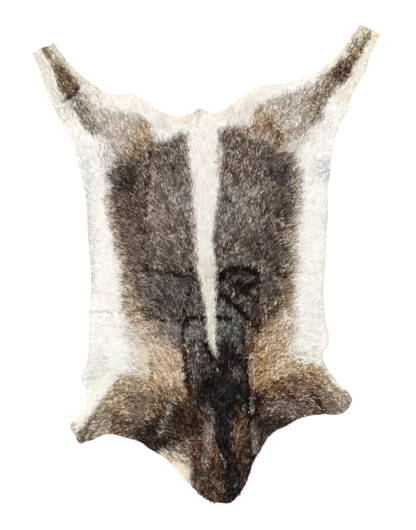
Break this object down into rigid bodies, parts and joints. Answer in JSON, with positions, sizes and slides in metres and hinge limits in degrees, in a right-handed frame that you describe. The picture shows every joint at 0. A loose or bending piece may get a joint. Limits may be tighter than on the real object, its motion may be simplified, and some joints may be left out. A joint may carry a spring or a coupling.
{
  "type": "goatskin",
  "caption": "Whole goatskin with its hair on, lying flat: long hind shanks, short forelegs, tapered neck, white back stripe between dark saddles, pale flanks.",
  "frame": {"origin": "on the flesh side, in the middle of the hide's length and width", "axes": "+Z out of the hair side, +Y along the back from the neck to the rump, +X to the right as seen from above"},
  "size_m": [0.731, 1.008, 0.009],
  "materials": {
    "coat": "short lying goat hair over a tanned skin: dark grey-brown saddles, white back stripe and flanks, golden and black on the shoulders and neck"
  },
  "bodies": {
    "root": {"hide": "coat"}
  },
  "joints": []
}
